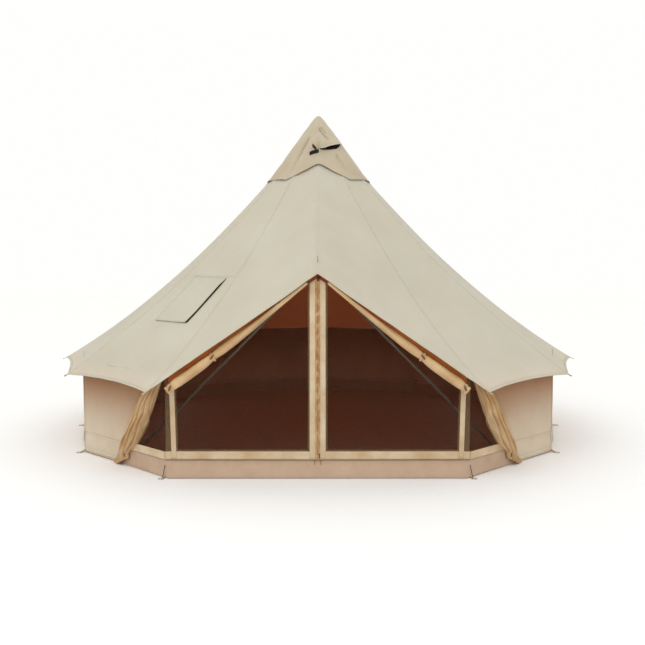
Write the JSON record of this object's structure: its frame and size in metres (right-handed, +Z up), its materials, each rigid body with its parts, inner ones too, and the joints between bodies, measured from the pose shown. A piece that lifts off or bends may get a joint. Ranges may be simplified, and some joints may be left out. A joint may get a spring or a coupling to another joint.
{
  "type": "bell tent",
  "caption": "Round canvas bell tent on a centre pole, with an A-frame door, low walls with windows, mesh doors, a stove flap and a vented rain cap.",
  "frame": {"origin": "on the ground under the centre pole's foot, at the groundsheet's underside", "axes": "+Z up the centre pole, -Y out of the door, +X to the right of someone facing the door from outside"},
  "size_m": [5.5022, 5.1466, 3.286],
  "materials": {
    "canvas": "natural polycotton canvas",
    "cap_canvas": "heavier polycotton canvas",
    "door_canvas": "natural polycotton canvas, rolled and gathered",
    "insect_mesh": "dark knitted insect mesh",
    "groundsheet": "coated groundsheet",
    "webbing": "woven cotton webbing",
    "black_webbing": "woven black webbing",
    "steel_hardware": "nickel-plated steel",
    "galvanised_tube": "zinc-plated steel tube",
    "black_rubber": "moulded rubber",
    "stove_patch": "coated glass-fibre cloth",
    "toggle_wood": "turned beech",
    "zip_metal": "enamelled zip slider"
  },
  "bodies": {
    "tent": {"groundsheet_floor": "groundsheet", "groundsheet_rim": "groundsheet", "peg_straps": "webbing", "peg_rings": "steel_hardware", "wall_panels_plain": "canvas", "wall_front_right": "canvas", "wall_front_left": "canvas", "wall_window_front_right": "canvas", "wall_window_front_left": "canvas", "wall_window_rear_right": "canvas", "wall_window_rear_left": "canvas", "window_meshes": "insect_mesh", "roof_front_right": "canvas", "roof_front_left": "canvas", "roof_right_1": "canvas", "roof_right_2": "canvas", "roof_right_3": "canvas", "roof_right_4": "canvas", "roof_right_5": "canvas", "roof_left_1": "canvas", "roof_left_2": "canvas", "roof_left_3": "canvas", "roof_left_4": "canvas", "roof_left_5": "canvas", "guy_loops": "webbing", "rain_cap": "cap_canvas", "vent_hood": "cap_canvas", "vent_strap": "black_webbing", "vent_buckle": "steel_hardware", "stove_jack": "stove_patch", "pole_foot": "black_rubber", "pole_lower": "galvanised_tube", "pole_joiner": "galvanised_tube", "pole_upper": "galvanised_tube", "pole_head": "black_rubber", "a_frame_bracket": "galvanised_tube", "a_frame_leg_right": "galvanised_tube", "a_frame_leg_left": "galvanised_tube", "a_frame_feet": "black_rubber", "canopy_grommet": "steel_hardware", "door_roll_right": "door_canvas", "door_roll_left": "door_canvas", "door_drape_right": "door_canvas", "door_drape_left": "door_canvas", "door_toggles": "toggle_wood", "mesh_fixed_right": "insect_mesh", "mesh_fixed_left": "insect_mesh"},
    "mesh_leaf_right": {"mesh_leaf_right": "insect_mesh"},
    "mesh_leaf_left": {"mesh_leaf_left": "insect_mesh"},
    "centre_zip": {"zip_slider_centre": "zip_metal"},
    "right_zip": {"zip_slider_right": "zip_metal"},
    "left_zip": {"zip_slider_left": "zip_metal"},
    "stove_flap": {"stove_flap": "canvas"},
    "cover_front_right": {"window_cover_front_right": "canvas"},
    "cover_front_left": {"window_cover_front_left": "canvas"},
    "cover_rear_right": {"window_cover_rear_right": "canvas"},
    "cover_rear_left": {"window_cover_rear_left": "canvas"}
  },
  "joints": [
    {"name": "mesh_door_right", "type": "hinge", "parent": "tent", "child": "mesh_leaf_right", "pos_m": [0, -2.04, 1.64], "axis": [-0.6268, 0.0627, 0.7767], "range_deg": [0, 75]},
    {"name": "mesh_door_left", "type": "hinge", "parent": "tent", "child": "mesh_leaf_left", "pos_m": [0, -2.04, 1.64], "axis": [-0.6268, -0.0627, -0.7767], "range_deg": [0, 75]},
    {"name": "centre_zip_run", "type": "slide", "parent": "mesh_leaf_right", "child": "centre_zip", "axis": [0, 0.0838, 0.9965], "range_m": [0, 1.2]},
    {"name": "right_zip_run", "type": "slide", "parent": "tent", "child": "right_zip", "axis": [1, 0, 0], "range_m": [0, 1.12]},
    {"name": "left_zip_run", "type": "slide", "parent": "tent", "child": "left_zip", "axis": [-1, 0, 0], "range_m": [0, 1.12]},
    {"name": "stove_flap_hinge", "type": "hinge", "parent": "tent", "child": "stove_flap", "pos_m": [-1.03181, -1.03181, 1.61488], "axis": [-0.7071, 0.7071, 0], "range_deg": [0, 160]},
    {"name": "cover_front_right_hinge", "type": "hinge", "parent": "tent", "child": "cover_front_right", "pos_m": [2.33688, -0.62616, 0.355], "axis": [-0.2588, -0.9659, 0], "range_deg": [0, 176]},
    {"name": "cover_front_left_hinge", "type": "hinge", "parent": "tent", "child": "cover_front_left", "pos_m": [-2.33688, -0.62616, 0.355], "axis": [-0.2588, 0.9659, 0], "range_deg": [0, 176]},
    {"name": "cover_rear_right_hinge", "type": "hinge", "parent": "tent", "child": "cover_rear_right", "pos_m": [1.71071, 1.71071, 0.355], "axis": [0.7071, -0.7071, 0], "range_deg": [0, 176]},
    {"name": "cover_rear_left_hinge", "type": "hinge", "parent": "tent", "child": "cover_rear_left", "pos_m": [-1.71071, 1.71071, 0.355], "axis": [0.7071, 0.7071, 0], "range_deg": [0, 176]}
  ]
}
